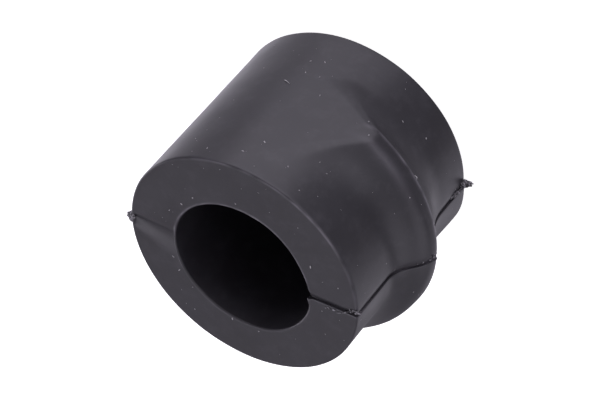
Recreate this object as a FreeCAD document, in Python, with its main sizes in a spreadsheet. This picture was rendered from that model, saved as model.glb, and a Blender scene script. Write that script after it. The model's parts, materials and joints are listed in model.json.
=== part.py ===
import FreeCAD, Part
import math
import os
import Sketcher

# Sway bar bushing: one moulded rubber sleeve that sits between the bar and its bracket.
# The frame stands on the rear end face with the origin on the bore axis, +Z along the bar
# and +X through the lug, in the plane where the mould parts. All sizes are in millimetres.

SIZES = [
    ("body_length", 33.0, "sleeve, end face to end face"),
    ("bore_dia", 24.0, "hole that grips the bar"),
    ("rear_dia", 40.8, "outside of the sleeve at the rear end"),
    ("front_dia", 39.9, "outside of the sleeve at the front end, less by the draft"),
    ("end_bevel", 0.45, "bevel of the outer edge of each end face"),
    ("bore_mouth", 0.35, "bevel of each mouth of the bore"),
    ("lug_height", 3.95, "crest of the lug above the sleeve"),
    ("lug_shift", 0.55, "crest of the lug in front of the middle of the sleeve"),
    ("lug_land", 1.9, "width of the crest along the bar"),
    ("lug_land_fall", 0.3, "drop of the crest from its rear edge to its front edge"),
    ("lug_rear_run", 5.4, "length of the ramp behind the crest"),
    ("lug_front_run", 4.2, "length of the ramp before the crest"),
    ("lug_rear_foot", 10.0, "radius of the hollow where the rear ramp meets the sleeve"),
    ("lug_front_foot", 7.0, "radius of the hollow where the front ramp meets the sleeve"),
    ("lug_front_rounding", 3.0, "rounding of the front edge of the crest"),
    ("lug_rear_rounding", 0.8, "rounding of the rear edge of the crest"),
    ("lug_side_rounding", 0.5, "rounding between the ramps and the flat flanks"),
    ("lug_sink", 0.05, "depth of the lug's own foot and flanks under the sleeve"),
    ("lug_flank_rise", 0.4, "how much each flank stands further out at the crest"),
    ("slit_gap", 0.35, "gap of the slit that lets the bush open over the bar"),
    ("flash_thickness", 0.35, "thickness of the moulding flash on the parting line"),
    ("flash_height", 0.15, "height of the flash left standing along the plain side"),
    ("flash_root", 1.0, "depth to which the flash is part of the sleeve"),
    ("horn_reach", 1.1, "how far a torn horn of flash stands out at an end corner"),
    ("horn_width", 1.8, "length along the bar of the foot of a horn"),
    ("horn_drop", 0.3, "distance of the tip of a horn from the end face"),
]

doc = FreeCAD.newDocument("sway_bar_bushing")
sheet = doc.addObject("Spreadsheet::Sheet", "sizes")
for row, (alias, value, meaning) in enumerate(SIZES, start=1):
    sheet.set(f"A{row}", meaning)
    sheet.set(f"B{row}", str(value))
    sheet.setAlias(f"B{row}", alias)
doc.recompute()

# Expressions that several features share. A radius on the drafted sleeve depends on the height.
BORE_RADIUS = "sizes.bore_dia / 2"
REAR_RADIUS = "sizes.rear_dia / 2"
FRONT_RADIUS = "sizes.front_dia / 2"
LENGTH = "sizes.body_length"
CREST_MIDDLE = "(sizes.body_length / 2 + sizes.lug_shift)"
LAND_REAR = f"({CREST_MIDDLE} - sizes.lug_land / 2)"
LAND_FRONT = f"({CREST_MIDDLE} + sizes.lug_land / 2)"
REAR_FOOT = f"({LAND_REAR} - sizes.lug_rear_run)"
FRONT_FOOT = f"({LAND_FRONT} + sizes.lug_front_run)"
HALF_SLIT = "sizes.slit_gap / 2"


def sleeve_radius(height):
    """Radius of the drafted sleeve at a height above the rear end face."""
    return f"({REAR_RADIUS} - ({REAR_RADIUS} - {FRONT_RADIUS}) * {height} / {LENGTH})"


CREST_RADIUS = f"({sleeve_radius(CREST_MIDDLE)} + sizes.lug_height)"
CORE_RADIUS = f"(({BORE_RADIUS} + {FRONT_RADIUS}) / 2)"
FLANK = f"({sleeve_radius(CREST_MIDDLE)} - sizes.lug_sink)"


def number(expression):
    """Value of an expression on the sheet, as a plain number."""
    result = sheet.evalExpression(str(expression))
    return float(getattr(result, "Value", result))


def new_sketch(body, name, role):
    """Empty sketch on one of the origin planes of the body."""
    plane = next(item for item in body.Origin.OriginFeatures if item.Role == role)
    sketch = body.newObject("Sketcher::SketchObject", name)
    sketch.AttachmentSupport = [(plane, "")]
    sketch.MapMode = "FlatFace"
    return sketch


def bind_point(sketch, geometry, vertex, across, up):
    """Hold a point at two distances from the origin, each bound to an expression."""
    for kind, expression in (("DistanceX", across), ("DistanceY", up)):
        constraint = Sketcher.Constraint(kind, -1, 1, geometry, vertex, number(expression))
        index = sketch.addConstraint(constraint)
        sketch.setExpression(f"Constraints[{index}]", str(expression))


def outline(sketch, corners):
    """Closed outline of straight lines through corners that are pairs of expressions."""
    points = [FreeCAD.Vector(number(across), number(up), 0) for across, up in corners]
    count = len(points)
    lines = []
    for start in range(count):
        line = Part.LineSegment(points[start], points[(start + 1) % count])
        lines.append(sketch.addGeometry(line, False))
    for start in range(count):
        following = lines[(start + 1) % count]
        sketch.addConstraint(Sketcher.Constraint("Coincident", lines[start], 2, following, 1))
        bind_point(sketch, lines[start], 1, *corners[start])


def revolve(body, name, sketch, angle):
    """Turn a sketch about the bore axis, half of the angle to each side of its plane."""
    feature = body.newObject("PartDesign::Revolution", name)
    feature.Profile = sketch
    feature.ReferenceAxis = (sketch, ["V_Axis"])
    feature.Angle = angle
    feature.Midplane = True
    doc.recompute()
    return feature


def cut_through(body, name, sketch):
    """Cut the outline of a sketch through the whole body, to both sides."""
    before = body.Shape.Volume
    feature = body.newObject("PartDesign::Pocket", name)
    feature.Profile = sketch
    feature.SideType = "Symmetric"
    feature.Type = "ThroughAll"
    doc.recompute()
    if feature.Shape.Volume >= before:
        raise RuntimeError(f"{name} cuts nothing")
    return feature


def dress_edges(body, name, kind, size_name, chosen, size):
    """Round or bevel those edges of the tip that the test picks."""
    tip = body.Tip
    names = [f"Edge{n}" for n, edge in enumerate(tip.Shape.Edges, start=1) if chosen(edge)]
    if not names:
        raise RuntimeError(f"{name} finds no edge")
    feature = body.newObject(kind, name)
    feature.Base = (tip, names)
    feature.setExpression(size_name, size)
    doc.recompute()
    return feature


def round_edges(body, name, chosen, radius):
    """Round the chosen edges of the tip."""
    return dress_edges(body, name, "PartDesign::Fillet", "Radius", chosen, radius)


def bevel_edges(body, name, chosen, width):
    """Bevel the chosen edges of the tip."""
    return dress_edges(body, name, "PartDesign::Chamfer", "Size", chosen, width)


def near(value, expression):
    """True where a measured value is the size that the expression gives."""
    return abs(value - number(expression)) < 1e-4


def ring_edge(radius, height):
    """Test for an arc about the bore axis with this radius at this height."""
    def chosen(edge):
        curve = edge.Curve
        is_ring = isinstance(curve, Part.Circle) and abs(curve.Axis.z) > 0.999
        return is_ring and near(curve.Radius, radius) and near(curve.Center.z, height)
    return chosen


def any_ring(*rings):
    """Test for an arc that is one of several, each a radius and a height."""
    tests = [ring_edge(radius, height) for radius, height in rings]
    return lambda edge: any(test(edge) for test in tests)


def on_flank(edge):
    """Test for an edge of a flank that stands clear of the sleeve."""
    middle = edge.valueAt((edge.FirstParameter + edge.LastParameter) / 2)
    flank, rise, crest = number(FLANK), number("sizes.lug_flank_rise"), number(CREST_RADIUS)
    for point in [vertex.Point for vertex in edge.Vertexes] + [middle]:
        if abs(abs(point.y) - flank - rise * point.x / crest) > 1e-3:
            return False
    return middle.x > 0 and math.hypot(middle.x, middle.y) > number(REAR_RADIUS)


def add_lug(body):
    """Locating lug: a ridge across the bar, ramped to both ends and flat on its two flanks."""
    below = "sizes.lug_sink"
    start = f"({REAR_FOOT} - sizes.lug_rear_foot / 2)"
    end = f"({FRONT_FOOT} + sizes.lug_front_foot / 2)"
    front_crest = f"({CREST_RADIUS} - sizes.lug_land_fall)"
    section = new_sketch(body, "lug_section", "XZ_Plane")
    outline(section, [
        (CORE_RADIUS, start),
        (f"({sleeve_radius(start)} - {below})", start),
        (f"({sleeve_radius(REAR_FOOT)} - {below})", REAR_FOOT),
        (CREST_RADIUS, LAND_REAR),
        (front_crest, LAND_FRONT),
        (f"({sleeve_radius(FRONT_FOOT)} - {below})", FRONT_FOOT),
        (f"({sleeve_radius(end)} - {below})", end),
        (CORE_RADIUS, end),
    ])
    revolve(body, "lug_ridge", section, 180)
    rear_foot = ring_edge(f"({sleeve_radius(REAR_FOOT)} - {below})", REAR_FOOT)
    round_edges(body, "lug_rear_hollow", rear_foot, "sizes.lug_rear_foot")
    front_foot = ring_edge(f"({sleeve_radius(FRONT_FOOT)} - {below})", FRONT_FOOT)
    round_edges(body, "lug_front_hollow", front_foot, "sizes.lug_front_foot")
    crest_front = ring_edge(front_crest, LAND_FRONT)
    round_edges(body, "lug_front_edge", crest_front, "sizes.lug_front_rounding")
    crest_rear = ring_edge(CREST_RADIUS, LAND_REAR)
    round_edges(body, "lug_rear_edge", crest_rear, "sizes.lug_rear_rounding")

    flanks = new_sketch(body, "lug_flanks", "XY_Plane")
    outer = f"({CREST_RADIUS} + 1)"
    far_flank = f"({FLANK} + sizes.lug_flank_rise * {outer} / {CREST_RADIUS})"
    for side in ("", "-"):
        outline(flanks, [
            (f"-{outer}", f"{side}{FLANK}"),
            (0, f"{side}{FLANK}"),
            (outer, f"{side}{far_flank}"),
            (outer, f"{side}{outer}"),
            (f"-{outer}", f"{side}{outer}"),
        ])
    cut_through(body, "lug_flats", flanks)
    round_edges(body, "lug_sides", on_flank, "sizes.lug_side_rounding")


def add_sleeve(body):
    """Sleeve with its draft, the bore through it and the bevelled edges of its end faces."""
    section = new_sketch(body, "sleeve_section", "XZ_Plane")
    outline(section, [
        (CORE_RADIUS, 0),
        (REAR_RADIUS, 0),
        (FRONT_RADIUS, LENGTH),
        (CORE_RADIUS, LENGTH),
    ])
    revolve(body, "sleeve", section, 360)
    core = new_sketch(body, "wall_section", "XZ_Plane")
    outline(core, [
        (BORE_RADIUS, 0),
        (CORE_RADIUS, 0),
        (CORE_RADIUS, LENGTH),
        (BORE_RADIUS, LENGTH),
    ])
    revolve(body, "inner_wall", core, 360)
    outer = any_ring((REAR_RADIUS, 0), (FRONT_RADIUS, LENGTH))
    bevel_edges(body, "end_edges", outer, "sizes.end_bevel")
    mouths = any_ring((BORE_RADIUS, 0), (BORE_RADIUS, LENGTH))
    bevel_edges(body, "bore_mouths", mouths, "sizes.bore_mouth")


def add_fin(body, name, corners, thickness):
    """Thin web of flash in the parting plane, half of its thickness to each side."""
    section = new_sketch(body, f"{name}_section", "XZ_Plane")
    outline(section, corners)
    feature = body.newObject("PartDesign::Pad", name)
    feature.Profile = section
    feature.SideType = "Symmetric"
    feature.setExpression("Length", thickness)
    doc.recompute()


def add_flash(body):
    """Flash of the mould: a low line along the plain side and a torn horn at two corners."""
    root = "sizes.flash_root"
    top = f"({LENGTH} - sizes.horn_drop)"
    horn_start = f"({LENGTH} - sizes.horn_width)"
    line_start = "sizes.end_bevel"
    add_fin(body, "plain_side_flash", [
        (f"-({sleeve_radius(line_start)} - {root})", line_start),
        (f"-({sleeve_radius(line_start)} + sizes.flash_height)", line_start),
        (f"-({sleeve_radius(horn_start)} + sizes.flash_height)", horn_start),
        (f"-({sleeve_radius(top)} + sizes.horn_reach)", top),
        (f"-({sleeve_radius(top)} - {root})", top),
    ], "sizes.flash_thickness")
    bottom = "sizes.horn_drop"
    horn_end = "sizes.horn_width"
    add_fin(body, "slit_side_horn", [
        (f"({sleeve_radius(bottom)} - {root})", bottom),
        (f"({sleeve_radius(bottom)} + sizes.horn_reach)", bottom),
        (f"{sleeve_radius(horn_end)}", horn_end),
        (f"({sleeve_radius(horn_end)} - {root})", horn_end),
    ], "sizes.slit_gap + sizes.flash_thickness")


def cut_slit(body):
    """Slit through the wall and the lug, along the parting line from end to end."""
    inside = f"({BORE_RADIUS} - 1)"
    outside = f"({CREST_RADIUS} + 1)"
    section = new_sketch(body, "slit_section", "XY_Plane")
    outline(section, [
        (inside, f"-{HALF_SLIT}"),
        (outside, f"-{HALF_SLIT}"),
        (outside, HALF_SLIT),
        (inside, HALF_SLIT),
    ])
    cut_through(body, "slit", section)


bushing = doc.addObject("PartDesign::Body", "bushing")
bushing.Label = "bushing"
add_lug(bushing)
add_sleeve(bushing)
add_flash(bushing)
cut_slit(bushing)
doc.recompute()

for item in doc.Objects:
    if "Invalid" in item.State or "Error" in item.State:
        raise RuntimeError(f"{item.Label} failed: {item.State}")
if bushing.Shape.isNull() or not bushing.Shape.isValid():
    raise RuntimeError("the bushing has no valid shape")
if len(bushing.Shape.Solids) != 1:
    raise RuntimeError("the bushing is not one solid")

os.makedirs("parts", exist_ok=True)
bushing.Shape.exportStep(f"parts/{bushing.Label}.step")
box = bushing.Shape.BoundBox
print(f"{bushing.Label}: volume {bushing.Shape.Volume:.1f} mm3")
print(f"box x {box.XMin:.2f} to {box.XMax:.2f}, y {box.YMin:.2f} to {box.YMax:.2f}, "
      f"z {box.ZMin:.2f} to {box.ZMax:.2f}")
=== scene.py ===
import json
import math
import random

import bmesh
import bpy
from mathutils import Matrix, Vector, noise
from mathutils.bvhtree import BVHTree


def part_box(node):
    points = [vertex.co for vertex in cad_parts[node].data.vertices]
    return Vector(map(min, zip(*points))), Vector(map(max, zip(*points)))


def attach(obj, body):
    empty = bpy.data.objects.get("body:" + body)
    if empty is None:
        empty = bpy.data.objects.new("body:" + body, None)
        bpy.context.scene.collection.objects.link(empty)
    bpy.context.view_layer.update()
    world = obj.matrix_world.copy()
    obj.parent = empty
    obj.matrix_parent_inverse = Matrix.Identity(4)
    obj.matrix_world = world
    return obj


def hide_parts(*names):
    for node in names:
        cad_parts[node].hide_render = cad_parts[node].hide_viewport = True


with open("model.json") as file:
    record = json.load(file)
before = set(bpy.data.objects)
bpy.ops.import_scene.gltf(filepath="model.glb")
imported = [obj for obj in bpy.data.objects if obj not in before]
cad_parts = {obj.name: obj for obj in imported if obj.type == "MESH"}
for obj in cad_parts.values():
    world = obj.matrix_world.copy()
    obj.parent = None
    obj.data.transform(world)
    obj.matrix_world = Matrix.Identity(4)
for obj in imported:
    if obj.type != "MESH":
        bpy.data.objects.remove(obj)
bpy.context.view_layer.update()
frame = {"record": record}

# The bush stands on its rear end face with the bar's axis along +Z and the lug towards +X.
# The mould parted in the plane y = 0, and the sleeve is slit in that plane on the lug's side.
# Lengths below are in millimetres, and go to metres where a mesh is made. Places less than NEAR apart
# count as one.
MM = 0.001
NEAR = 0.01
lowest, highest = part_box("bushing")
bar_bore = next(mount for mount in frame["record"]["mounts"] if mount["name"] == "bar_bore")

# Sleeve, thinner at the front by its draft, with end faces that lie a little below their rims
LENGTH = (highest[2] - lowest[2]) / MM
BORE_RADIUS = bar_bore["dims"]["r_mm"]
REAR_RADIUS = highest[1] / MM
DRAFT = 0.45
FRONT_RADIUS = REAR_RADIUS - DRAFT
END_ROUNDING = 0.4
BORE_ROUNDING = 0.3
FACE_SINK = 0.12
FACE_RIM = 0.3

# How far the outside, the bore and the end faces wander from true. The first two have so many waves
# for each turn of one radian, and waves of this length along the bar.
OUTSIDE_WANDER = 0.05
OUTSIDE_WAVES = 3.2
OUTSIDE_WAVE_LENGTH = 7
BORE_WANDER = 0.05
BORE_WAVES = 2.1
BORE_WAVE_LENGTH = 6
FACE_WANDER = 0.03
FACE_WAVE_LENGTH = 5

# Mouths of the bore: a nicked burr, and the front one drawn in, most by the upper lip of the slit
MOUTH_BURR = 0.1
BURR_WIDTH = 0.14
BURR_NICKS = 9
LOW_SIDE_BURR_SHARE = 0.3
MOUTH_DEPTH = 2.5
MOUTH_DRAWN_IN = 0.2
MOUTH_SAG = 0.55
LIP_DRAWN_IN = 0.5
LIP_SHARE_INSIDE = 0.3
UPPER_LIP_MIDDLE = 25       # degrees from the slit
UPPER_LIP_SPREAD = 28       # degrees
LOWER_LIP_SPREAD = 6        # degrees

# Locating lug: a ridge round the slit side with a narrow crest and two hollow ramps
CREST_RADIUS = highest[0] / MM
LAND_REAR = 16.0
LAND_FRONT = 18.35
LAND_FALL_AT_SLIT = 0.45
LAND_RISE_AT_SIDES = 0.06
LAND_FALL_SPREAD = 36       # degrees
REAR_FOOT = 10.7
FRONT_FOOT = 21.7
FRONT_FOOT_SPREAD = 2.6
LUG_SIDE = 60               # degrees from the slit, where the front foot has moved by its spread
FOOT_SINK = 0.1
REAR_FOOT_BLEND = 2.9
FRONT_FOOT_BLEND = 2.4
CREST_REAR_BLEND = 0.16
CREST_FRONT_BLEND = 0.35
CREST_FRONT_SOFTENING = 1.0
FLANK_RISE = 0.4
FLANK_BLEND = 0.65

# Slit: nearly shut inside, open at the crest, torn open at the bore, and leaning towards the bore
HALF_SLIT = 0.1
SLIT_SHUT_SHARE = 0.25
SLIT_SHUT_RADIUS = 18.5
SLIT_OPEN_RADIUS = 20.0
UPPER_TEAR = 0.75
UPPER_TEAR_REACH = 0.7
UPPER_TEAR_RADIUS = BORE_RADIUS - 1.0
LOWER_TEAR = 0.35
LOWER_TEAR_REACH = 0.5
LOWER_TEAR_RADIUS = BORE_RADIUS - 0.4
SLIT_EDGE_ROUNDING = 0.12
SLIT_SLANT = -0.35
UPPER_LIP_DIP = 0.42
UPPER_LIP_DIP_WIDTH = 0.75
LOWER_LIP_DIP = 0.05
LOWER_LIP_DIP_WIDTH = 0.15
REAR_DIP_SHARE = 0.6
OUTSIDE_DIP_SHARE = 0.7
PROUD_LIP = 0.45
PROUD_LIP_TURN = -13        # degrees from the slit
PROUD_LIP_SPREAD = 13       # degrees
PROUD_LIP_LENGTH = 5

# Away from the slit: a crease across the front face, wider at the bore, and a line of moulding flash
CREASE_DEPTH = 0.6
CREASE_AT_BORE = -0.7
CREASE_CLIMB = 0.8
CREASE_UPPER_WIDTH = 0.7
CREASE_UPPER_SPREAD = 0.7
CREASE_LOWER_WIDTH = 0.5
CREASE_LOWER_SPREAD = 2.8
FLASH_HEIGHT = 0.12
FLASH_WIDTH = 0.2

# Painted highlights, a lighter grey on the rubber: in patches, along the rims, on the crest and on the
# slit's lower lip, where the edges catch the light
HIGHLIGHT_PATCH = 1.6
HIGHLIGHT_END = 0.28
HIGHLIGHT_TOP = 62             # degrees from the slit
HIGHLIGHT_TOP_SPREAD = 48      # degrees
HIGHLIGHT_OUTER_RIM = 0.22
HIGHLIGHT_BORE_RIM = 0.14
LOWER_BORE_RIM_SHARE = 0.15
HIGHLIGHT_CREST = 0.34
CREST_BAND = 1.2
HIGHLIGHT_LIP = 0.12
HIGHLIGHT_LIP_SHARE = 0.7
CREST_CORNER = 47           # degrees from the slit
CREST_CORNER_SPREAD = 14    # degrees
CREST_CORNER_WIDTH = 0.7
CREST_CORNER_BAND = 2
CREST_CORNER_SHARE = 0.25

# Mesh of the body: steps round the bore, and rows along the wall and over the end faces
STEPS_ROUND = 410
OUTSIDE_ROWS = 146
BORE_ROWS = 28
FACE_RINGS = 30
STEP_CROWDING = 0.45

# A ray that finds the seat of a scrap or a speck starts this far outside the bush
RAY_CLEARANCE = 5


def smooth_max(a, b, reach):
    """The larger of two values, with the corner between them rounded over a reach."""
    near = max(reach - abs(a - b), 0.0) / reach
    return max(a, b) + near * near * reach / 4


def smooth_min(a, b, reach):
    """The smaller of two values, with the corner between them rounded over a reach."""
    return -smooth_max(-a, -b, reach)


def bell(distance, width):
    """1 at no distance, falling smoothly to nothing over about twice the width."""
    return math.exp(-(distance / width) ** 2)


def sleeve_radius(z):
    """Outside of the drafted sleeve at a height above the rear end face."""
    return REAR_RADIUS - DRAFT * z / LENGTH


def ridge_radius(turn, z):
    """Outside of the lug's own section at a height, before the flanks cut it off."""
    near_slit = bell(math.degrees(turn), LAND_FALL_SPREAD)
    fall = (LAND_FALL_AT_SLIT + LAND_RISE_AT_SIDES) * near_slit - LAND_RISE_AT_SIDES
    crest_front = CREST_RADIUS - fall
    foot = sleeve_radius(LAND_REAR) - FOOT_SINK
    front_foot = FRONT_FOOT + FRONT_FOOT_SPREAD * (math.degrees(turn) / LUG_SIDE) ** 2
    rear_ramp = foot + (CREST_RADIUS - foot) * (z - REAR_FOOT) / (LAND_REAR - REAR_FOOT)
    land = CREST_RADIUS - fall * (z - LAND_REAR) / (LAND_FRONT - LAND_REAR)
    front_ramp = foot + (crest_front - foot) * (front_foot - z) / (front_foot - LAND_FRONT)
    rear = smooth_min(rear_ramp, land, CREST_REAR_BLEND)
    return smooth_min(rear, front_ramp, CREST_FRONT_BLEND + CREST_FRONT_SOFTENING * near_slit)


def outside_radius(turn, z):
    """Outside of the whole bush at an angle from the slit and a height."""
    sleeve = sleeve_radius(z)
    if math.cos(turn) <= 0:
        return sleeve
    flank = (sleeve + FLANK_RISE * math.cos(turn)) / max(abs(math.sin(turn)), 0.05)
    foot_blend = REAR_FOOT_BLEND if z < LAND_REAR else FRONT_FOOT_BLEND
    lug = smooth_max(sleeve, ridge_radius(turn, z), foot_blend)
    return max(sleeve, smooth_min(lug, flank, FLANK_BLEND))


def bore_radius(turn, z):
    """Wall of the bore: its front mouth is drawn in at the top, most by the upper lip of the slit."""
    degrees = math.degrees(turn)
    mouth = bell(LENGTH - z, MOUTH_DEPTH)
    drawn_in = MOUTH_DRAWN_IN + MOUTH_SAG * math.sin(turn)
    if degrees > 0:
        lip = LIP_DRAWN_IN * bell(degrees - UPPER_LIP_MIDDLE, UPPER_LIP_SPREAD)
    else:
        lip = LIP_DRAWN_IN * bell(degrees, LOWER_LIP_SPREAD)
    return BORE_RADIUS - drawn_in * mouth - lip * (LIP_SHARE_INSIDE + (1 - LIP_SHARE_INSIDE) * mouth)


def uneven_wall(turn, z, side):
    """Bore and outside of the wall at an angle and a height, as the mould and the hand left them."""
    around = Vector((math.cos(turn), math.sin(turn), 0))
    wave = noise.noise(around * OUTSIDE_WAVES + Vector((0, 0, z / OUTSIDE_WAVE_LENGTH)))
    outer = outside_radius(turn, z) - OUTSIDE_WANDER * (1 + wave)
    if side < 0:
        beside = bell(math.degrees(turn) - PROUD_LIP_TURN, PROUD_LIP_SPREAD)
        outer += PROUD_LIP * beside * bell(z, PROUD_LIP_LENGTH)
    wave = noise.noise(around * BORE_WAVES + Vector((0, 0, z / BORE_WAVE_LENGTH + 9)))
    return bore_radius(turn, z) + BORE_WANDER * wave, outer


def half_gap(radius, side):
    """Half of the slit's gap: nearly shut through the wall, and torn open at the bore and the crest."""
    if side > 0:
        torn = UPPER_TEAR * bell(max(radius - UPPER_TEAR_RADIUS, 0), UPPER_TEAR_REACH)
    else:
        torn = LOWER_TEAR * bell(max(radius - LOWER_TEAR_RADIUS, 0), LOWER_TEAR_REACH)
    opening = min(max((radius - SLIT_SHUT_RADIUS) / (SLIT_OPEN_RADIUS - SLIT_SHUT_RADIUS), 0), 1)
    return HALF_SLIT * (SLIT_SHUT_SHARE + (1 - SLIT_SHUT_SHARE) * opening) + torn


def beside_slit(turn, radius, side):
    """Angle of a place once the slit beside it is opened, and its distance from the lip."""
    lip = half_gap(radius, side)
    opened = math.asin(lip / radius)
    turn = side * (opened + (1 - opened / math.pi) * abs(turn))
    return turn, radius * abs(math.sin(turn)) - lip


def lip_dip(away, side):
    """How far a lip of the slit is pulled down at a distance from its edge."""
    if side > 0:
        return UPPER_LIP_DIP * bell(away, UPPER_LIP_DIP_WIDTH)
    return LOWER_LIP_DIP * bell(away, LOWER_LIP_DIP_WIDTH)


def crease_depth(height, outward):
    """Depth of the crease in the front face: its upper side is the steep one, and it ends at the bore."""
    away = height - (CREASE_AT_BORE + CREASE_CLIMB * outward)
    inward = 1 - min(max(outward, 0), 1)
    if away > 0:
        width = CREASE_UPPER_WIDTH + CREASE_UPPER_SPREAD * inward
    else:
        width = CREASE_LOWER_WIDTH + CREASE_LOWER_SPREAD * inward
    fade = min(max((outward - 0.02) / 0.1, 0), 1)
    return CREASE_DEPTH * bell(away, width) * fade


def face_sink(turn, radius, inner, outer, flat, front):
    """How far an end face lies below its rims, less the nicked burr round the bore."""
    around = Vector((math.cos(turn), math.sin(turn), 0))
    patch = around * radius / FACE_WAVE_LENGTH + Vector((0, 0, 3 if front else 8))
    wander = FACE_WANDER * noise.noise(patch)
    nicks = 0.6 + 0.8 * noise.noise(around * BURR_NICKS + Vector((0, 0, 4)))
    high_side = LOW_SIDE_BURR_SHARE + (1 - LOW_SIDE_BURR_SHARE) * max(around.y, 0)
    sink = (FACE_SINK + wander) * (1 - bell((1 - flat) * (outer - inner), FACE_RIM))
    sink -= MOUTH_BURR * high_side * nicks * bell(radius - inner - BORE_ROUNDING, BURR_WIDTH)
    return max(sink, 0)


def select_where(kind, wanted):
    """Select the vertices, edges or faces whose middle passes a test, and nothing else."""
    mesh = bmesh.from_edit_mesh(bpy.context.edit_object.data)
    for group in (mesh.faces, mesh.edges, mesh.verts):
        for item in group:
            item.select_set(False)
    mesh.select_mode = {kind}
    for item in {"VERT": mesh.verts, "EDGE": mesh.edges, "FACE": mesh.faces}[kind]:
        if kind == "VERT":
            middle = item.co
        else:
            middle = sum((vertex.co for vertex in item.verts), Vector()) / len(item.verts)
        if wanted(middle, item):
            item.select_set(True)
    mesh.select_flush_mode()
    bmesh.update_edit_mesh(bpy.context.edit_object.data)


def wall_section():
    """Wire outline of the sleeve's wall, standing on the slit plane, with its long sides divided."""
    middle = (BORE_RADIUS + REAR_RADIUS) / 2
    bpy.ops.mesh.primitive_plane_add(size=1, location=(0, 0, 0), rotation=(math.pi / 2, 0, 0))
    section = bpy.context.active_object
    section.name = "bushing_body"
    section.scale = ((REAR_RADIUS - BORE_RADIUS) * MM, LENGTH * MM, 1)
    bpy.ops.object.transform_apply(location=False, rotation=True, scale=True)
    section.location = (middle * MM, 0, LENGTH / 2 * MM)
    bpy.ops.object.transform_apply(location=True, rotation=False, scale=False)
    bpy.ops.object.mode_set(mode="EDIT")
    for rounding, outer in ((END_ROUNDING, True), (BORE_ROUNDING, False)):
        select_where("VERT", lambda co, item: (co.x > middle * MM) == outer)
        bpy.ops.mesh.bevel(offset=rounding * MM, segments=5, affect="VERTICES")
    bpy.ops.mesh.select_all(action="SELECT")
    bpy.ops.mesh.delete(type="ONLY_FACE")
    rows = (
        (OUTSIDE_ROWS, lambda x: x > REAR_RADIUS - NEAR),
        (BORE_ROWS, lambda x: x < BORE_RADIUS + NEAR),
        (FACE_RINGS, lambda x: abs(x - middle) < END_ROUNDING),
    )
    for cuts, wanted in rows:
        select_where("EDGE", lambda co, item: wanted(co.x / MM) and item.calc_length() > END_ROUNDING * MM)
        bpy.ops.mesh.subdivide(number_cuts=cuts)
    return section


def crowd_rings(outward):
    """Move the rings of an end face, from 0 at the bore to 1 outside, closer to its two edges."""
    wall = REAR_RADIUS - BORE_RADIUS
    first = BORE_ROUNDING / wall
    last = 1 - END_ROUNDING / wall
    share = (outward - first) / (last - first)
    return first + (last - first) * (1 - math.cos(math.pi * share)) / 2


def shape_wall(vertex, side):
    """Move one vertex of the plain ring to its place on the real, slightly uneven bush."""
    x, y, z = (value / MM for value in vertex.co)
    radius = math.hypot(x, y)
    plain = abs(math.atan2(y, x))
    turn = side * (plain - STEP_CROWDING * math.sin(2 * plain) / 2)
    outward = (radius - BORE_RADIUS) / (REAR_RADIUS - BORE_RADIUS)
    inner, outer = uneven_wall(turn, z, side)
    radius = inner + outward * (outer - inner)
    flat = min(max(outward, 0), 1)
    outside = outward > 0.9
    front = z > LENGTH - END_ROUNDING
    rear = z < END_ROUNDING
    if front or rear:
        on_face = min(z, LENGTH - z) < NEAR
        ring = crowd_rings(flat) if on_face else flat
        if on_face:
            radius = inner + ring * (outer - inner)
        sink = face_sink(turn, radius, inner, outer, ring, front)
        z += -sink if front else sink

    # The parting plane: the slit on the lug's side, and the crease and the flash on the other side
    if math.cos(turn) > 0:
        turn, away = beside_slit(turn, radius, side)
        dip = lip_dip(away, side)
        if front:
            z -= dip
        elif rear:
            z += dip * REAR_DIP_SHARE
        elif outside:
            radius -= dip * OUTSIDE_DIP_SHARE
        turn += SLIT_SLANT * (1 - flat) * (1 - plain / (math.pi / 2)) ** 2 / radius
    elif front:
        z -= crease_depth(radius * math.sin(turn), outward)
    elif outside:
        radius += FLASH_HEIGHT * bell(radius * math.sin(turn), FLASH_WIDTH)
    vertex.co = (radius * math.cos(turn) * MM, radius * math.sin(turn) * MM, z * MM)


def bushing_body():
    """The moulded sleeve with its lug, spun from the wall's section and opened at the slit."""
    body = wall_section()
    bpy.ops.mesh.select_all(action="SELECT")
    bpy.ops.mesh.spin(
        steps=STEPS_ROUND, angle=2 * math.pi, use_auto_merge=False, center=(0, 0, 0), axis=(0, 0, 1)
    )
    mesh = bmesh.from_edit_mesh(body.data)
    sides = {}
    for vertex in mesh.verts:
        beside = sum(edge.other_vert(vertex).co.y for edge in vertex.link_edges)
        sides[vertex] = math.copysign(1, vertex.co.y if abs(vertex.co.y) > 1e-7 else beside)
    for vertex in mesh.verts:
        shape_wall(vertex, sides[vertex])
    for side in (1, -1):
        select_where("EDGE", lambda co, item: item.is_boundary and co.y * side > 0)
        bpy.ops.mesh.edge_face_add()
    bpy.ops.mesh.select_all(action="SELECT")
    bpy.ops.mesh.normals_make_consistent(inside=False)
    bpy.ops.object.mode_set(mode="OBJECT")
    rounding = body.modifiers.new("slit_edges", "BEVEL")
    rounding.width = SLIT_EDGE_ROUNDING * MM
    rounding.segments = 2
    rounding.limit_method = "ANGLE"
    rounding.angle_limit = math.radians(55)
    bpy.ops.object.modifier_apply(modifier=rounding.name)
    bpy.ops.object.shade_smooth_by_angle(angle=math.radians(40))
    # Painted highlight on the rims, the crest and the slit's lip, kept on the vertices for the material
    highlight_paint = body.data.attributes.new("painted_highlight", "FLOAT", "POINT")
    for vertex in body.data.vertices:
        highlight_paint.data[vertex.index].value = painted_highlight(vertex.co)
    return body


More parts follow.
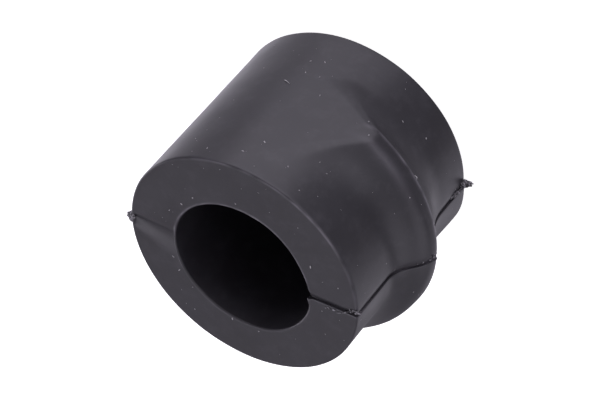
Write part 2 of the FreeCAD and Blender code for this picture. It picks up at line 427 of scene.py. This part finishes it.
def painted_highlight(place):
    """How much painted highlight, as lighter grey, a place gets: along the front rims, the crest and the
    slit's lip.
    """
    x, y, z = (value / MM for value in place)
    turn = math.atan2(y, x)
    degrees = math.degrees(turn)
    radius = math.hypot(x, y)
    patchy = min(max(0.55 + 0.9 * noise.noise(Vector((x, y, z)) / HIGHLIGHT_PATCH), 0), 1)
    at_front = bell(LENGTH - z, HIGHLIGHT_END)
    outer_rim = at_front * bell(radius - sleeve_radius(z) + 0.25, HIGHLIGHT_OUTER_RIM)
    outer_rim *= bell(degrees - HIGHLIGHT_TOP, HIGHLIGHT_TOP_SPREAD)
    bore_rim = at_front * bell(radius - bore_radius(turn, z) - BORE_ROUNDING, HIGHLIGHT_BORE_RIM)
    # The painted highlight on the bore's rim is strongest on the upper side, where the light falls
    bore_rim *= 1 if y > 0 else LOWER_BORE_RIM_SHARE
    # Painted highlights along the crest's rear edge and at its front corner
    crest_rim = bell(z - LAND_REAR + 0.1, HIGHLIGHT_CREST) * (radius > CREST_RADIUS - CREST_BAND)
    crest_rim *= 1.5 - abs(degrees) / LUG_SIDE
    slit_lip = HIGHLIGHT_LIP_SHARE * at_front * bell(y + HIGHLIGHT_LIP, HIGHLIGHT_LIP) * (x > BORE_RADIUS)
    crest_corner = CREST_CORNER_SHARE * bell(degrees - CREST_CORNER, CREST_CORNER_SPREAD)
    crest_corner *= bell(z - LAND_FRONT, CREST_CORNER_WIDTH) * (radius > CREST_RADIUS - CREST_CORNER_BAND)
    return min(patchy * (outer_rim + bore_rim + crest_rim + slit_lip) + crest_corner, 1)


def turned(degrees, radius, z):
    """A place by its angle from the slit, its distance from the bore's axis and its height."""
    return Vector((radius * math.cos(math.radians(degrees)), radius * math.sin(math.radians(degrees)), z))


def seat_outside(skin, degrees, z):
    """Place on the outside of the body at an angle and a height, with the way out of the surface."""
    start = turned(degrees, CREST_RADIUS + RAY_CLEARANCE, z) * MM
    place, normal, _, _ = skin.ray_cast(start, -turned(degrees, 1, 0))
    return place / MM, normal


def seat_on_front(skin, x, y):
    """Place on the front face at an x and a y, with the way out of the surface."""
    place, normal, _, _ = skin.ray_cast(Vector((x, y, LENGTH + RAY_CLEARANCE)) * MM, Vector((0, 0, -1)))
    return place / MM, normal


def scrap(foot, tip, width, thickness, out, ragged=0.3, arch=0.0, fineness=2):
    """Torn scrap or thread from its foot to its tip, on a surface that faces out, in the solid's box."""
    bpy.ops.mesh.primitive_ico_sphere_add(subdivisions=fineness, radius=1)
    piece = bpy.context.active_object
    run = tip - foot
    across = run.cross(out).normalized()
    seed = foot * 3.7
    for vertex in piece.data.vertices:
        along = (vertex.co.z + 1) / 2
        uneven = 1 + ragged * noise.noise(vertex.co * 1.9 + seed)
        taper = 1 - 0.6 * along
        place = foot + run * along * uneven + across * vertex.co.x * width / 2 * taper * uneven
        place += out * (vertex.co.y * thickness / 2 * taper * uneven + arch * math.sin(math.pi * along))
        vertex.co = [min(max(value * MM, low), high) for value, low, high in zip(place, lowest, highest)]
    return piece


def joined(name, pieces):
    """Make one object of several, with smooth shading."""
    bpy.ops.object.select_all(action="DESELECT")
    for piece in pieces:
        piece.select_set(True)
    bpy.context.view_layer.objects.active = pieces[0]
    bpy.ops.object.join()
    whole = bpy.context.active_object
    whole.name = name
    bpy.ops.object.shade_smooth_by_angle(angle=math.radians(50))
    return whole


# Torn flash. Horns and the flap: foot, tip, width and thickness. Crumbs: x, y and size on the front
# face. Thread: x and y on the front face. Bits on the crest: angle from the slit, height and size.
FRONT_HORN = (Vector((-19.4, -0.3, 32.5)), Vector((-20.9, -0.2, 32.6)), 3.0, 0.8)
REAR_FLAP = (Vector((20.0, 0.45, 4.4)), Vector((20.9, 0.6, 0.8)), 0.6, 0.9)
REAR_HORN = (Vector((19.5, 0.9, 1.0)), Vector((21.9, 1.2, 0.3)), 2.0, 1.6)
CRUMBS = (
    (14.4, -0.9, 0.8), (14.9, -0.75, 0.5), (15.7, -0.6, 0.5), (18.5, 0.8, 0.6), (19.3, 0.5, 0.9),
    (19.4, 1.2, 0.7), (18.9, 1.0, 0.5),
)
THREAD = ((16.4, -0.85), (17.3, -0.35), (18.3, 0.3), (19.2, 0.7))
BITS_ON_THE_CREST = (
    (1.3, 19.3, 0.8), (1.1, 18.6, 0.7), (0.9, 17.5, 0.9), (-0.9, 16.6, 0.7), (0.8, 16.7, 1.0),
    (2.4, 17.2, 0.6),
)


def torn_flash(skin):
    """What tore when the bush left its mould: a horn at two end corners and shreds along the slit."""
    right, front = Vector((1, 0, 0)), Vector((0, 0, 1))
    shreds = [
        scrap(*FRONT_HORN, front, 0.3, 0.0, 3),
        scrap(*REAR_FLAP, right, 0.35, 0.0, 3),
        scrap(*REAR_HORN, front, 0.35, 0.0, 3),
    ]
    for x, y, size in CRUMBS:
        place, out = seat_on_front(skin, x, y)
        place += out * 0.1
        shreds.append(scrap(place, place + Vector((size, size * 0.5, 0)), size * 0.7, size * 0.6, out, 0.9))
    thread = [seat_on_front(skin, x, y)[0] + front * 0.1 for x, y in THREAD]
    for start, end in zip(thread, thread[1:]):
        shreds.append(scrap(start, end, 0.3, 0.24, front, 0.3, 0.1))
    for degrees, z, size in BITS_ON_THE_CREST:
        place, out = seat_outside(skin, degrees, z)
        place += out * 0.15
        shreds.append(scrap(place, place + Vector((0.0, 0.25, -size)), size * 0.5, size * 0.4, out, 0.9))
    return joined("torn_flash", shreds)


# Lint on the bush, in degrees and mm. On the outside: angle from the slit and height. On the front
# face: angle and radius. Hairs: angle and height of both ends. Then the sizes of specks and dust.
LINT_OUTSIDE = (
    (98, 10.0), (111, 30.5), (62, 14.9), (51, 7.8), (38, 6.0), (32, 18.5), (36, 15.3), (65, 30.6),
    (75, 28.4), (85, 13.6), (91, 10.1), (100, 7.3), (95, 29.5), (90, 26.3), (59, 17.5), (94, 6.7),
)
LINT_ON_FRONT = (
    (144, 12.9), (130, 13.0), (158, 13.7), (-159, 13.3), (-148, 13.4), (-133, 13.2), (28, 13.4), (15, 17.1),
    (-77, 13.2), (94, 12.6), (-121, 17.0), (-98, 12.9),
)
HAIRS = ((104, 12.8, 100, 13.4), (36, 15.3, 35, 15.9))
SPECK_SIZES = (0.17, 0.27)
FINE_DUST = 160
DUST_SIZES = (0.05, 0.11)


def lint_and_dust(skin):
    """Pale lint that clings to the rubber: specks, short hairs and fine dust."""
    chance = random.Random(7)
    seats = [seat_outside(skin, *spot) + (chance.uniform(*SPECK_SIZES),) for spot in LINT_OUTSIDE]
    for degrees, radius in LINT_ON_FRONT:
        place = turned(degrees, radius, LENGTH)
        seats.append(seat_on_front(skin, place.x, place.y) + (chance.uniform(*SPECK_SIZES),))
    for _ in range(FINE_DUST):
        if chance.random() < 0.75:
            seat = seat_outside(skin, chance.uniform(-180, 180), chance.uniform(1, LENGTH - 1))
        else:
            place = turned(chance.uniform(-180, 180), chance.uniform(BORE_RADIUS + 1, FRONT_RADIUS - 0.7), 0)
            seat = seat_on_front(skin, place.x, place.y)
        seats.append(seat + (chance.uniform(*DUST_SIZES),))
    bits = []
    for place, out, size in seats:
        way = Vector([chance.uniform(-1, 1) for _ in range(3)]).cross(out).normalized()
        half = way * size * chance.uniform(1.2, 2.6) / 2
        bits.append(scrap(place - half, place + half, size, size, out, 0.8, 0.03, 1))
    for start_turn, start_z, end_turn, end_z in HAIRS:
        start, out = seat_outside(skin, start_turn, start_z)
        end = seat_outside(skin, end_turn, end_z)[0]
        bits.append(scrap(start + out * 0.05, end + out * 0.05, 0.16, 0.12, out, 0.2, 0.15))
    return joined("lint_and_dust", bits)


def linear(hex_colour):
    """An sRGB hex colour as linear red, green, blue and alpha."""
    channels = [int(hex_colour[start:start + 2], 16) / 255 for start in (1, 3, 5)]
    return [c / 12.92 if c <= 0.04045 else ((c + 0.055) / 1.055) ** 2.4 for c in channels] + [1.0]


def add_node(tree, kind, settings=None, sockets=None, links=None):
    """Add a node with its settings, its unlinked socket values and its incoming links."""
    node = tree.nodes.new(kind)
    for name, value in (settings or {}).items():
        setattr(node, name, value)
    for name, value in (sockets or {}).items():
        node.inputs[name].default_value = value
    for name, source in (links or {}).items():
        tree.links.new(source, node.inputs[name])
    return node


def pattern_scale(patch):
    """Noise scale that gives patches of about a size in millimetres."""
    return 1 / (patch * MM)


def new_material(name):
    """An empty node material."""
    material = bpy.data.materials.new(name)
    material.use_nodes = True
    material.node_tree.nodes.clear()
    return material, material.node_tree


def moulded_black_rubber():
    """Carbon-filled natural rubber, compression moulded: nearly black, satin, faintly mottled."""
    material, tree = new_material("moulded_black_rubber")
    place = add_node(tree, "ShaderNodeTexCoord").outputs["Object"]

    # Carbon is mixed in unevenly, in clouds of about 6 mm that change the black and its gloss a little
    cloudy = add_node(
        tree, "ShaderNodeTexNoise", links={"Vector": place},
        sockets={"Scale": pattern_scale(6.25), "Detail": 3, "Roughness": 0.55},
    )
    colour = add_node(tree, "ShaderNodeValToRGB", links={"Fac": cloudy.outputs["Fac"]})
    colour.color_ramp.elements[0].position = 0.3
    colour.color_ramp.elements[0].color = linear("#232125")
    colour.color_ramp.elements[1].position = 0.7
    colour.color_ramp.elements[1].color = linear("#29282c")
    gloss = add_node(tree, "ShaderNodeMapRange", links={"Value": cloudy.outputs["Fac"]},
                     sockets={"From Min": 0.3, "From Max": 0.7, "To Min": 0.37, "To Max": 0.43})

    # Wax blooms to the skin in grey patches of about 2.4 mm
    bloom = add_node(
        tree, "ShaderNodeTexNoise", links={"Vector": place},
        sockets={"Scale": pattern_scale(2.38), "Detail": 5, "Roughness": 0.65},
    )
    dusting = add_node(tree, "ShaderNodeMapRange", links={"Value": bloom.outputs["Fac"]},
                       sockets={"From Min": 0.5, "From Max": 0.75, "To Min": 0.0, "To Max": 0.1})
    bloomed = add_node(tree, "ShaderNodeMix", {"data_type": "RGBA"}, {"B": linear("#6a686c")},
                       {"Factor": dusting.outputs["Result"], "A": colour.outputs["Color"]})

    # Painted highlights: rims and the crest are made lighter grey, where the piece's own value says so
    highlight = add_node(tree, "ShaderNodeAttribute", {"attribute_name": "painted_highlight"}).outputs["Fac"]
    highlighted = add_node(tree, "ShaderNodeMix", {"data_type": "RGBA"}, {"B": linear("#6e6b71")},
                    {"Factor": highlight, "A": bloomed.outputs["Result"]})

    # The mould's fine grain is drawn at 0.385 mm and 0.04 mm deep, coarser than the real 0.1 mm
    grain = add_node(
        tree, "ShaderNodeTexNoise", links={"Vector": place},
        sockets={"Scale": pattern_scale(0.385), "Detail": 2, "Roughness": 0.6},
    )
    bump = add_node(tree, "ShaderNodeBump", links={"Height": grain.outputs["Fac"]},
                    sockets={"Strength": 0.12, "Distance": 0.04 * MM})

    # Vulcanised natural rubber bends light by 1.52; moulded against ground steel it is satin, near 0.4
    shader = add_node(
        tree, "ShaderNodeBsdfPrincipled", sockets={"IOR": 1.52},
        links={"Base Color": highlighted.outputs["Result"], "Roughness": gloss.outputs["Result"],
               "Normal": bump.outputs["Normal"]},
    )
    add_node(tree, "ShaderNodeOutputMaterial", links={"Surface": shader.outputs["BSDF"]})
    return material


def settled_lint():
    """Textile lint and chalky dust: pale grey, quite matt, uneven from fibre to fibre."""
    material, tree = new_material("settled_lint")
    place = add_node(tree, "ShaderNodeTexCoord").outputs["Object"]

    # Fibres change colour over about 0.33 mm
    fibre = add_node(tree, "ShaderNodeTexNoise", links={"Vector": place},
                     sockets={"Scale": pattern_scale(0.333)})
    colour = add_node(tree, "ShaderNodeValToRGB", links={"Fac": fibre.outputs["Fac"]})
    colour.color_ramp.elements[0].color = linear("#8a888b")
    colour.color_ramp.elements[1].color = linear("#dddbda")

    # Cotton and polyester bend light by about 1.5, and loose fibres have no gloss
    shader = add_node(tree, "ShaderNodeBsdfPrincipled", sockets={"Roughness": 0.95, "IOR": 1.5},
                      links={"Base Color": colour.outputs["Color"]})
    add_node(tree, "ShaderNodeOutputMaterial", links={"Surface": shader.outputs["BSDF"]})
    return material


def torn_rubber_with_glints():
    """Freshly torn rubber: no moulded skin, so it is rougher; its pale grains are partly the tear's own grey
    and partly painted glints.
    """
    material, tree = new_material("torn_rubber_with_glints")
    place = add_node(tree, "ShaderNodeTexCoord").outputs["Object"]

    # The tear shows pale and dark grains of about 0.33 mm, 0.1 mm deep; the pale ones are partly painted
    # glints
    grain = add_node(tree, "ShaderNodeTexNoise", links={"Vector": place},
                     sockets={"Scale": pattern_scale(0.333), "Detail": 3})
    colour = add_node(tree, "ShaderNodeValToRGB", links={"Fac": grain.outputs["Fac"]})
    colour.color_ramp.elements[0].position = 0.45
    colour.color_ramp.elements[0].color = linear("#222123")
    colour.color_ramp.elements[1].position = 0.65
    colour.color_ramp.elements[1].color = linear("#98969a")
    bump = add_node(tree, "ShaderNodeBump", links={"Height": grain.outputs["Fac"]},
                    sockets={"Strength": 0.4, "Distance": 0.1 * MM})
    shader = add_node(tree, "ShaderNodeBsdfPrincipled", sockets={"Roughness": 0.5, "IOR": 1.52},
                      links={"Base Color": colour.outputs["Color"], "Normal": bump.outputs["Normal"]})
    add_node(tree, "ShaderNodeOutputMaterial", links={"Surface": shader.outputs["BSDF"]})
    return material


def black_shade_card():
    """Matt black card: it blocks light from below the bore, and its black is painted shade where the floor
    at the bore's foot lies in shadow.
    """
    material, tree = new_material("black_shade_card")
    shader = add_node(tree, "ShaderNodeBsdfPrincipled",
                      sockets={"Base Color": linear("#161616"), "Roughness": 0.9})
    add_node(tree, "ShaderNodeOutputMaterial", links={"Surface": shader.outputs["BSDF"]})
    return material


def backdrop_paper():
    """White paper under studio light, bright enough to read as a plain pale floor."""
    material, tree = new_material("backdrop_paper")
    place = add_node(tree, "ShaderNodeTexCoord").outputs["Object"]

    # Felted fibres in tufts of about 1.1 mm, 0.1 mm high
    fibre = add_node(tree, "ShaderNodeTexNoise", links={"Vector": place},
                     sockets={"Scale": pattern_scale(1.11)})
    bump = add_node(tree, "ShaderNodeBump", links={"Height": fibre.outputs["Fac"]},
                    sockets={"Strength": 0.05, "Distance": 0.1 * MM})
    shader = add_node(
        tree, "ShaderNodeBsdfPrincipled",
        sockets={"Base Color": linear("#f4f4f3"), "Roughness": 0.9, "Emission Color": linear("#ffffff"),
                 "Emission Strength": 0.86},
        links={"Normal": bump.outputs["Normal"]},
    )
    add_node(tree, "ShaderNodeOutputMaterial", links={"Surface": shader.outputs["BSDF"]})
    return material


def dress(piece, material):
    """Give a piece its material and its body."""
    piece.data.materials.clear()
    piece.data.materials.append(material)
    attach(piece, "root")


# Studio: the photograph's camera, near and rolled, because it shows the bush lying on its side
AIM = Vector((-3.43, -7.07, 10.01)) * MM
DISTANCE = 300 * MM
AZIMUTH = 152.816
ELEVATION = 38.117
ROLL = 139.27
LENS = 112.575


def direction(azimuth, elevation):
    """Unit vector from the bush towards an azimuth and elevation in degrees, azimuth 0 being -Y."""
    turn = math.radians(azimuth)
    rise = math.radians(elevation)
    return Vector((math.sin(turn) * math.cos(rise), -math.cos(turn) * math.cos(rise), math.sin(rise)))


def camera():
    """Camera at the photograph's viewing angle."""
    bpy.ops.object.camera_add()
    eye = bpy.context.active_object
    eye.name = "camera"
    back = direction(AZIMUTH, ELEVATION)
    right = Vector((0, 0, 1)).cross(back).normalized()
    up = back.cross(right)
    roll = math.radians(ROLL)
    turned_up = up * math.cos(roll) + right * math.sin(roll)
    turned_right = turned_up.cross(back)
    eye.matrix_world = Matrix.Translation(AIM + back * DISTANCE) @ Matrix(
        (turned_right, turned_up, back)
    ).transposed().to_4x4()
    eye.data.lens = LENS
    eye.data.sensor_width = 36
    eye.data.clip_start = 0.01
    bpy.context.scene.camera = eye


# Soft lights and cards, named for how the photograph shows the bush, on its side with the slit to the
# right: the way to each from the bush, its width and height in metres, and its brightness beside 1.0
# for white. The studio's air lights the rest evenly.
LIGHT_DISTANCE = 0.5
LIGHT_COLOUR = "#f6f1ff"
AIR_BRIGHTNESS = 0.33
FLOOR_WIDTH = 6
CARD_HEIGHT = 0.05 * MM
SOFT_LIGHTS = {
    "overhead_softbox": ((-0.2, 0.95, -0.25), 0.55, 0.55, 1.73),
    "overhead_right_softbox": ((0.42, 0.9, 0.0), 0.3, 0.4, 0.90),
    "right_softbox": ((0.76, 0.6, 0.26), 0.2, 0.2, 1.73),
    "front_right_card": ((0.86, 0.2, 0.47), 0.3, 0.3, 0.38),
    "low_right_card": ((0.88, -0.42, 0.22), 0.35, 0.3, 1.04),
    "back_left_card": ((-0.5, 0.2, -0.84), 0.45, 0.45, 0.39),
    "front_card": ((-0.2, -0.2, 0.96), 0.35, 0.35, 2.07),
    "low_front_card": ((0.1, -0.84, 0.53), 0.5, 0.3, 0.30),
    "low_left_card": ((-0.85, -0.5, 0.15), 0.35, 0.35, 2.10),
    "low_left_back_card": ((-0.64, -0.54, -0.55), 0.4, 0.4, 1.04),
    "low_right_back_card": ((0.5, -0.55, -0.67), 0.4, 0.3, 0.61),
}


def softbox(name, towards, width, height, brightness):
    """Rectangular soft light facing the bush; a white card of its brightness would look the same."""
    middle = Vector((0, 0, LENGTH / 2 * MM))
    bpy.ops.object.light_add(type="AREA", location=middle + Vector(towards).normalized() * LIGHT_DISTANCE)
    lamp = bpy.context.active_object
    lamp.name = name
    lamp.rotation_euler = (middle - lamp.location).to_track_quat("-Z", "Y").to_euler()
    lamp.data.shape = "RECTANGLE"
    lamp.data.size = width
    lamp.data.size_y = height
    lamp.data.energy = brightness * width * height * math.pi
    lamp.data.color = linear(LIGHT_COLOUR)[:3]
    lamp.visible_camera = False


def studio():
    """Pale floor, a black card in the bore's foot, and soft light from all round."""
    bpy.ops.mesh.primitive_plane_add(size=FLOOR_WIDTH, location=(0, 0, 0))
    floor = bpy.context.active_object
    floor.name = "floor"
    floor.data.materials.append(backdrop_paper())
    floor.visible_glossy = False
    floor.visible_diffuse = False
    floor.visible_shadow = False
    # The black card blocks light coming up the bore, and stands as painted shade for the floor seen down the
    # bore
    bpy.ops.mesh.primitive_circle_add(
        vertices=64, radius=(REAR_RADIUS - 1) * MM, fill_type="NGON", location=(0, 0, CARD_HEIGHT)
    )
    card = bpy.context.active_object
    card.name = "card_under_the_bore"
    card.data.materials.append(black_shade_card())
    for name, light in SOFT_LIGHTS.items():
        softbox(name, *light)
    world = bpy.data.worlds.new("studio_air")
    world.use_nodes = True
    world.node_tree.nodes["Background"].inputs["Color"].default_value = linear(LIGHT_COLOUR)
    world.node_tree.nodes["Background"].inputs["Strength"].default_value = AIR_BRIGHTNESS
    bpy.context.scene.world = world
    bpy.context.scene.view_settings.view_transform = "Standard"


bpy.ops.object.select_all(action="DESELECT")
body = bushing_body()
dress(body, moulded_black_rubber())
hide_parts("bushing")
corners = [vertex.co.copy() for vertex in body.data.vertices]
skin = BVHTree.FromPolygons(corners, [face.vertices for face in body.data.polygons])
dress(torn_flash(skin), torn_rubber_with_glints())
dress(lint_and_dust(skin), settled_lint())
bpy.ops.object.select_all(action="DESELECT")
camera()
studio()
